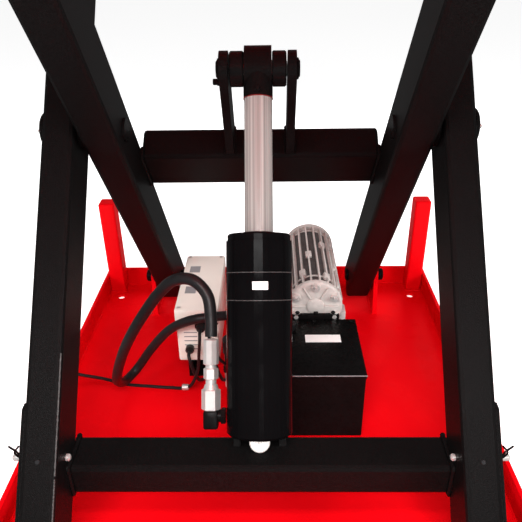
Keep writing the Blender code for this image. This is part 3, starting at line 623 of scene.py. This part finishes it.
def clip_axles(side, hand):
    """A spring clip near the end of each axle and hinge pin."""
    for stem, body, space, along in (("base_roller_axle", "outer_frame", OUTER, -ARM_REACH),
                                     ("upper_roller_axle", "inner_frame", INNER, -ARM_REACH),
                                     ("platform_hinge_pin", "outer_frame", OUTER, ARM_REACH)):
        x = outer_face(f"{stem}_{hand}", side) - side * 0.0055
        gap = 0.3
        ring = [(x, along + PIN_RING_RADIUS * math.cos(a), PIN_RING_RADIUS * math.sin(a))
                for a in (gap + (math.tau - 2 * gap) * i / 36 for i in range(37))]
        piece(f"{stem}_clip_{hand}", tube(ring, CLIP_WIRE, 8), STEEL, body, space, smooth=True)


def finish_lock_pin(side, hand):
    """A split pin through the lock pin's end, and a small hole in the arm's face above it."""
    end = side * 0.326
    for i, lean in enumerate((-24, 26)):
        leg = [(end, LOCK_PIN_ALONG, 0.004), (end + side * 0.004 * i, -0.462, 0.013),
               (end - side * (0.014 * math.tan(math.radians(lean))), -0.452, 0.028)]
        piece(f"split_pin_leg_{hand}_{i}", tube(smooth_route(leg, 0.002), SPLIT_PIN_WIRE, 10), SATIN,
              "outer_frame", OUTER, smooth=True)
    eye = [(end, LOCK_PIN_ALONG + 0.0060 * math.cos(a), -0.0085 + 0.0048 * math.sin(a)) for a in circle(28)]
    piece(f"split_pin_loop_{hand}", tube(eye, SPLIT_PIN_WIRE, 8, closed=True), SATIN, "outer_frame", OUTER,
          smooth=True)
    plug = turned(rounded(0.0395, 0.0412, 0.0032, 0.0005), (side * 0.288, LOCK_PIN_ALONG, 0), "Z", 16)
    piece(f"arm_grease_hole_{hand}", plug, PLASTIC, "outer_frame", OUTER, smooth=True)


def weld_doubler(side, hand):
    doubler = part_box(f"doubler_plate_{hand}")
    x = doubler[1][0] if side < 0 else doubler[0][0]
    run = [(x, -0.640, 0.0345), (x, -0.404, 0.0345), (x, -0.3958, 0.0262), (x, -0.3958, -0.034),
           (x, -0.640, -0.0345)]
    bead(f"doubler_weld_{hand}", run, "outer_frame", OUTER, STITCH_BEAD, closed=False)


def paint_arm_edge_highlight():
    """A painted highlight: a light grey line in three runs along the inner edge of the left outer arm."""
    x = -(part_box("outer_cross_tube")[1][0] + 0.0021)
    # These grey runs are a painted highlight on the edge, not rubbed paint.
    for start, end in ((-0.640, -0.560), (-0.556, -0.492), (-0.488, -0.330)):
        edge = [(x, start + (end - start) * i / 40, 0.0382) for i in range(41)]
        piece(f"edge_highlight_{int(-start * 1000)}", tube(edge, 0.0011, 8, 0.3), SEAM_GREY_AND_EDGE_HIGHLIGHT, "outer_frame", OUTER,
              smooth=True)


def finish_foot_plug():
    """The turned plug on the outer cross tube, half hidden under the barrel's foot."""
    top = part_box("outer_cross_tube")[1]
    lean = Matrix.Rotation(math.radians(48), 4, "X")
    place = Matrix.Translation((0, top[1] - 0.0232, top[2] + 0.0110)) @ lean
    plug = [(0, 0), (0, 0.0145), (0.0018, 0.0145), (0.0030, 0.0130), (0.0030, 0.0030), (0.0014, 0.0026),
            (0.0014, 0)]
    piece("foot_plug", lower_half(turned(plug, axis="Z", sides=40)), CAST, "outer_frame", place, smooth=True)
    seat = [(-0.012, 0), (-0.012, 0.0155), (-0.0002, 0.0155), (-0.0002, 0)]
    piece("foot_plug_seat", lower_half(turned(seat, axis="Z", sides=40)), BLACK, "outer_frame", place,
          smooth=True)


def finish_ram():
    """Glossy barrel with its ring seams and blank label, chromed rod, knuckle, and the hose fitting."""
    paint(["ram_barrel", "ram_gland"], GLOSS)
    paint(["ram_rod"], CHROME)
    paint(["rod_eye"], BLACK)
    for i, along in enumerate(BARREL_SEAMS):
        inner, outer = BARREL_RADIUS - 0.001, BARREL_RADIUS + 0.0004
        ring = turned([(along - 0.0012, inner), (along - 0.0004, outer), (along + 0.0004, outer),
                       (along + 0.0012, inner), (along - 0.0012, inner)], sides=96)
        piece(f"barrel_seam_{i}", ring, SEAM_GREY_AND_EDGE_HIGHLIGHT, "ram_barrel", RAM, smooth=True, angle=50)
    patch("barrel_label", LABEL_ALONG, 0.0056, 0.0108, BARREL_RADIUS, LABEL)
    wiper = turned([(BARREL_TOP - 0.004, ROD_RADIUS), (BARREL_TOP - 0.004, 0.0255),
                    (BARREL_TOP + 0.0022, 0.0250), (BARREL_TOP + 0.0030, 0.0225),
                    (BARREL_TOP + 0.0012, ROD_RADIUS), (BARREL_TOP - 0.004, ROD_RADIUS)], sides=64)
    piece("rod_wiper", wiper, PLASTIC, "ram_barrel", RAM, smooth=True)
    finish_knuckle()
    finish_fitting()


def finish_knuckle():
    """The weld under the rod's eye, a collar on each side of it, its nipple, and the ears' lock bolt."""
    neck_radius = 0.0211
    neck = [(math.cos(a) * neck_radius, NECK_ALONG + 0.0004, math.sin(a) * neck_radius) for a in circle(100)]
    piece("rod_neck_weld", tube(neck, 0.0007, 8, 0.1, closed=True), RED_MARK, "ram_rod", RAM, smooth=True,
          angle=60)
    start, end = 0.0206, 0.0415
    bore, rim, face = 0.0130, 0.0255, 0.0235
    profile = [(start, bore), (start, face), (start + 0.002, rim), (end - 0.002, rim), (end, face),
               (end, bore), (start, bore)]
    for side, hand in both_sides():
        collar = turned(flip(profile, side), (0, EYE_ALONG, 0), "X", 48)
        piece(f"rod_eye_collar_{hand}", collar, SATIN, "ram_rod", RAM, smooth=True)
    nipple = turned([(0.0195, 0), (0.0195, 0.0058), (0.0235, 0.0052), (0.0235, 0.0036), (0.0262, 0.0036),
                     (0.0275, 0.0026), (0.0275, 0)], (0, EYE_ALONG - 0.036, 0), "Z", 20)
    piece("rod_eye_nipple", nipple, SATIN, "ram_rod", RAM, smooth=True)
    lock = turned([(-0.0565, 0), (-0.0565, 0.0062), (-0.0605, 0.0062), (-0.0605, 0.0050), (-0.0665, 0.0050),
                   (-0.0672, 0.0040), (-0.0672, 0)], (0, -0.030, 0.062), "X", 6)
    piece("ear_lock_bolt", lock, SATIN, "inner_frame", INNER, smooth=True, angle=25)


def patch(name, along, half_tall, half_wide, radius, finish):
    """A label wrapped on the barrel, on the side that faces up and towards the near end."""
    bm = bmesh.new()
    columns, half_turn = 10, half_wide / radius
    grid = []
    for r in (radius + 0.0001, radius + 0.0005):
        for y in (along - half_tall, along + half_tall):
            row = []
            for i in range(columns + 1):
                a = LABEL_TURN - half_turn + 2 * half_turn * i / columns
                row.append(bm.verts.new((r * math.cos(a), y, r * math.sin(a))))
            grid.append(row)
    low_in, high_in, low_out, high_out = grid
    for first, second in ((low_out, high_out), (high_in, low_in), (low_in, low_out), (high_out, high_in)):
        for i in range(columns):
            bm.faces.new((first[i], first[i + 1], second[i + 1], second[i]))
    for i in (0, columns):
        bm.faces.new((low_in[i], low_out[i], high_out[i], high_in[i]))
    piece(name, bm, finish, "ram_barrel", RAM, smooth=True)


def finish_fitting():
    """Crimped ferrule, hexes and elbow, in the order that the hose meets them."""
    centre = (FITTING_X, 0, 0)
    metal = turned([(0.0850, 0), (0.0850, 0.0100), (0.0862, 0.0113), (0.1196, 0.0113), (0.1213, 0.0100),
                    (0.1213, 0)], centre, "Y", 9)
    for start, end in ((0.0794, 0.0852), (0.0560, 0.0644)):
        turn_into(metal, [(start, 0), (start, 0.0078), (end, 0.0078), (end, 0)], centre)
    for start, end, flats in ((0.0640, 0.0800, 0.0186), (0.0205, 0.0500, 0.0240)):
        turn_into(metal, rounded(start, end, flats / math.sqrt(3), 0.0012), centre, "Y", 6)
    turn_into(metal, [(0.0498, 0), (0.0498, 0.0112), (0.0540, 0.0098), (0.0565, 0.0090), (0.0565, 0)], centre)
    fitting = piece("hose_fitting_detail", metal, ZINC, "ram_barrel", RAM, smooth=True, angle=30)
    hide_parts("hose_fitting")
    port = (0, PORT_ALONG, 0)
    elbow = boxes([((-0.0806, -0.0060, -0.0105), (-0.0594, 0.0202, 0.0105))], 0.003)
    turn_into(elbow, [(-0.0610, 0), (-0.0610, 0.0090), (-0.0486, 0.0090), (-0.0486, 0)], port, "X", 24)
    piece("port_elbow", elbow, SATIN, "ram_barrel", RAM, smooth=True)
    boss = turned(rounded(-0.0555, -0.0485, 0.0120, 0.001), port, "X", 6)
    piece("port_hex", boss, SATIN, "ram_barrel", RAM, smooth=True, angle=25)


def finish_power_pack():
    """Tank, pump block, motor, control box and their wiring."""
    paint(["oil_tank", "pump_block", "control_box_stand"], SATIN)
    paint(["motor_body", "motor_end_shield"], CAST)
    paint(["control_box"], CREAM)
    paint(["cable_gland", "solenoid_coil"], PLASTIC)
    finish_tank()
    finish_motor()
    finish_pump_block()
    finish_control_box()
    finish_valve()
    lay_hose()
    lay_cable()


def lead(name, route, spacing, radius, sides):
    """A rubber-covered hose, cable or wire along its route."""
    swept = tube(smooth_route(route, spacing), radius, sides)
    return piece(name, swept, RUBBER, "base", smooth=True, angle=70)


def lay_hose():
    hose = lead("hydraulic_hose_skin", HOSE_ROUTE, 0.006, HOSE_RADIUS, 20)
    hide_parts("hydraulic_hose")
    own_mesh(hose)


def lay_cable():
    cable = lead("supply_cable_skin", CABLE_ROUTE, 0.004, CABLE_RADIUS, 14)
    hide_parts("supply_cable")
    clip = turned(rounded(-0.164, -0.150, 0.0062, 0.0018), (0, 0.2515, 0.0180), "X", 24)
    piece("cable_clip", clip, ZINC, "base", smooth=True)


def finish_tank():
    """The lid with its bright seam, a blank label, screws and the filler cap."""
    low, high = span("oil_tank")
    lid_top = high.z + 0.0006
    lid = boxes([((low.x - 0.001, low.y - 0.001, high.z - 0.0075),
                  (high.x + 0.001, high.y - 0.0001, lid_top))], 0.0005)
    piece("tank_lid", lid, SATIN, "base", smooth=True)
    lip = boxes([((low.x - 0.002, low.y - 0.0022, high.z - 0.0012),
                  (high.x + 0.002, low.y - 0.0008, lid_top))], 0.0005)
    piece("tank_lid_seam", lip, GREY_LABEL, "base", smooth=True)
    label = boxes([((low.x + 0.060, low.y + 0.094, lid_top),
                    (low.x + 0.126, low.y + 0.117, high.z + 0.0010))])
    piece("tank_label", label, LABEL, "base")
    for i, x in enumerate((0.008, 0.152, 0.080)):
        screw = turned(rounded(0, 0.003, 0.0042, 0.0008), (low.x + x, low.y + 0.160, high.z + 0.0012), "Z", 6)
        piece(f"tank_screw_{i}", screw, SATIN, "base", smooth=True, angle=25)
    cap = turned([(0, 0), (0, 0.015), (0.010, 0.015), (0.012, 0.013), (0.012, 0)],
                 (low.x + 0.028, low.y + 0.140, lid_top), "Z", 12)
    piece("tank_filler_cap", cap, PLASTIC, "base", smooth=True, angle=25)


def finish_motor():
    """The near flange, the fins with the shade painted between them and their lugs, and the fan cover."""
    low, high = span("motor_end_shield")
    centre = (low + high) / 2
    axle = (centre.x, 0, centre.z)
    finish_flange(axle, low.y)
    finish_fins(axle)
    finish_fan_cover(axle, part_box("motor_body")[1][1])


def finish_flange(axle, face):
    """Bosses and bolts round the flange, a hub in the middle and ribs between."""
    for i, turn in enumerate((28, 90, 152, 208, 332)):
        a = math.radians(turn)
        x, z = axle[0] + 0.0425 * math.cos(a), axle[2] + 0.0425 * math.sin(a)
        tip = face - 0.0055
        profile = [(tip, 0), (tip, 0.0085), (face + 0.001, 0.0100), (face + 0.001, 0)]
        boss = turned(profile, (x, 0, z), "Y", 24)
        piece(f"motor_boss_{i}", boss, CAST, "base", smooth=True)
        bolt(f"motor_bolt_{i}", (x, tip, z), "Y", 0.0085, "base", out=-1)
    hub = turned([(face - 0.0040, 0), (face - 0.0040, 0.014), (face - 0.002, 0.017), (face + 0.001, 0.018),
                  (face + 0.001, 0)], axle)
    piece("motor_hub", hub, CAST, "base", smooth=True)
    ribs = 6
    for i in range(ribs):
        rib = boxes([((-0.0014, face - 0.0030, 0.018), (0.0014, face + 0.001, 0.048))], 0.0008)
        piece(f"flange_rib_{i}", rib, CAST, "base", about(axle, 360 / ribs * i + 30), smooth=True)


def about(axle, turn):
    """The place on the motor's axle, turned about it by so many degrees."""
    return Matrix.Translation(axle) @ Matrix.Rotation(math.radians(turn), 4, "Y")


def finish_fins(axle):
    """A sleeve painted dark as the shade between the fins, a ring at each end, and cast lugs across the fins.
    """
    # The sleeve is painted dark as the shade in the gaps between the fins.
    sleeve = turned(ring_profile(0.3125, 0.5530, 0.0465, 0.0483), axle, "Y", 60)
    piece("motor_fin_gap_shade", sleeve, FIN_GAP_SHADE, "base", smooth=True)
    for i, y in enumerate((0.3430, 0.5440)):
        ring = turned(ring_profile(y, y + 0.004, 0.0465, 0.0500), axle, "Y", 60)
        piece(f"motor_ring_{i}", ring, CAST, "base", smooth=True)
    for i, (turn, y) in enumerate(((63, 0.336), (63, 0.470), (27, 0.336), (27, 0.405), (27, 0.500),
                                   (-9, 0.350), (-9, 0.470), (99, 0.420), (117, 0.350))):
        lug = boxes([((-0.0065, y, 0.046), (0.0065, y + 0.020, 0.0555))], 0.002)
        piece(f"motor_lug_{i}", lug, CAST, "base", about(axle, 90 - turn), smooth=True)


def finish_fan_cover(axle, end):
    """The pressed cover over the fan, with slots in its far face."""
    cover = turned([(end + 0.0004, 0), (end + 0.0004, 0.0552), (end + 0.014, 0.0552), (end + 0.022, 0.050),
                    (end + 0.023, 0)], axle, "Y", 56)
    piece("fan_cover", cover, CAST, "base", smooth=True)
    for i in range(7):
        rise = -0.030 + i * 0.010
        x, z = axle[0], axle[2] + rise
        half = math.sqrt(0.040**2 - rise**2)
        slot = boxes([((x - half, end + 0.0226, z - 0.0018), (x + half, end + 0.0234, z + 0.0018))], 0.0002)
        piece(f"fan_slot_{i}", slot, PLASTIC, "base")


def finish_pump_block():
    """The adaptor plate under the motor's flange, and the block's valve, pad and port nut."""
    plate = boxes([((0.056, 0.3005, 0.106), (0.150, 0.3098, 0.157))], 0.002)
    piece("pump_adaptor", plate, SATIN, "base", smooth=True)
    for i, x in enumerate((0.068, 0.104, 0.138)):
        bolt(f"adaptor_bolt_{i}", (x, 0.3055, 0.157), "Z", 0.008, "base", finish=SATIN, washer=False)
    low, high = span("pump_block")
    valve = turned([(0, 0), (0, 0.011), (0.010, 0.011), (0.012, 0.009), (0.020, 0.009), (0.020, 0)],
                   (low.x + 0.076, low.y + 0.040, high.z), "Z", 24)
    turn_into(valve, [(0, 0), (0, 0.008), (0.012, 0.008), (0.012, 0)],
              (high.x - 0.010, low.y + 0.078, high.z), "Z", 6)
    piece("relief_valve", valve, PLASTIC, "base", smooth=True, angle=30)
    pad = boxes([((high.x + 0.0004, low.y + 0.070, high.z - 0.020),
                  (high.x + 0.014, low.y + 0.100, high.z + 0.014))], 0.002)
    piece("block_pad", pad, CAST, "base", smooth=True)
    port = hexagon(-0.012, 0.0, 0.022, (low.x, *HOSE_ROUTE[-1][1:]), "X")
    piece("pump_port_nut", port, ZINC, "base", smooth=True, angle=25)


def finish_control_box():
    """Cream lid with its gasket and screws, blank labels, and two glands with their leads."""
    low, high = span("control_box")
    lid_top = high.z + 0.002
    lid = boxes([((low.x - 0.0015, low.y - 0.0015, high.z - 0.030),
                  (high.x + 0.0015, high.y + 0.0015, lid_top))], 0.004)
    piece("control_box_lid", lid, CREAM, "base", smooth=True)
    seam = boxes([((low.x - 0.0008, low.y - 0.0008, high.z - 0.032),
                   (high.x + 0.0008, high.y + 0.0008, high.z - 0.0298))])
    piece("control_box_gasket", seam, PLASTIC, "base")
    for i in range(3):
        y = low.y + 0.060 + i * 0.042
        tag = boxes([((low.x + 0.012, y, lid_top), (low.x + 0.034, y + 0.026, lid_top + 0.0004))])
        piece(f"box_tag_{i}", tag, GREY_LABEL, "base")
    for i in range(5):
        z = high.z - 0.052 - i * 0.010
        line = boxes([((low.x + 0.014, low.y - 0.0006, z), (low.x + 0.040, low.y, z + 0.0022))])
        piece(f"box_line_{i}", line, GREY_LABEL, "base")
    for i, (x, y) in enumerate(((0.007, 0.007), (0.075, 0.007), (0.007, 0.212), (0.075, 0.212))):
        screw = turned(rounded(0, 0.0022, 0.0036, 0.0006), (low.x + x, low.y + y, high.z + 0.0018), "Z", 16)
        piece(f"box_screw_{i}", screw, ZINC, "base", smooth=True)
    for i, x in enumerate((-0.146, -0.098)):
        gland = turned([(0, 0), (0, 0.0085), (-0.0100, 0.0085), (-0.0100, 0.0070), (-0.0150, 0.0050),
                        (-0.0150, 0)], (x, low.y, 0.092), "Y", 12)
        piece(f"box_gland_{i}", gland, PLASTIC, "base", smooth=True, angle=25)
        drop = [(x, 0.2700, 0.092), (x, 0.2590, 0.0900), (x + 0.004, 0.2530, 0.0760),
                (x + 0.010, 0.2540, 0.0500), (x + 0.016, 0.2620, 0.0280), (x + 0.022, 0.2800, 0.0140)]
        lead(f"box_lead_{i}", drop, 0.003, 0.0034, 14)


def finish_valve():
    """The lowering valve beside the control box: its plug, coil, stem and wire."""
    plug = boxes([((-0.076, 0.256, 0.060), (-0.050, 0.282, 0.092)),
                  ((-0.080, 0.262, 0.044), (-0.056, 0.278, 0.060))], 0.003)
    piece("valve_plug", plug, PLASTIC, "base", smooth=True)
    centre = (-0.063, 0.269, 0)
    coil = turned(rounded(0.092, 0.126, 0.0165, 0.002), centre, "Z", 32)
    turn_into(coil, rounded(0.126, 0.134, 0.0080, 0.001), centre, "Z", 6)
    piece("lowering_valve_coil", coil, PLASTIC, "base", smooth=True, angle=30)
    stem = turned([(0.0065, 0), (0.0065, 0.010), (0.0440, 0.010), (0.0440, 0)], (-0.068, 0.270, 0), "Z", 24)
    piece("valve_stem", stem, ZINC, "base", smooth=True)
    wire = [(-0.063, 0.256, 0.078), (-0.066, 0.240, 0.082), (-0.080, 0.232, 0.100), (-0.096, 0.240, 0.124),
            (-0.104, 0.262, 0.132), (-0.106, 0.2825, 0.132)]
    lead("valve_lead", wire, 0.003, 0.0030, 12)


def finish_platform():
    """Red deck and skirt with seams, and rails welded under it."""
    paint(["platform_deck", "platform_skirt"] + pair("platform_rail"), RED)
    low, high = span("platform_skirt")
    inset = 0.0052
    left, right = low.x + inset, high.x - inset
    near, far = low.y + inset, high.y - inset
    corners = [(left, near, high.z), (right, near, high.z), (right, far, high.z), (left, far, high.z)]
    red_bead("skirt_weld", corners, "platform", STITCH_BEAD, closed=True)
    stitches = 7
    for side, hand in both_sides():
        low, high = span(f"platform_rail_{hand}")
        x = low.x if side > 0 else high.x
        for i in range(stitches):
            y = low.y + 0.03 + i * (high.y - low.y - 0.09) / (stitches - 1)
            run = [(x, y, high.z), (x, y + 0.032, high.z)]
            red_bead(f"rail_stitch_{hand}_{i}", run, "platform", STITCH_BEAD)


make_camera()
make_stage()
finish_base()
finish_frames()
finish_ram()
finish_power_pack()
finish_platform()
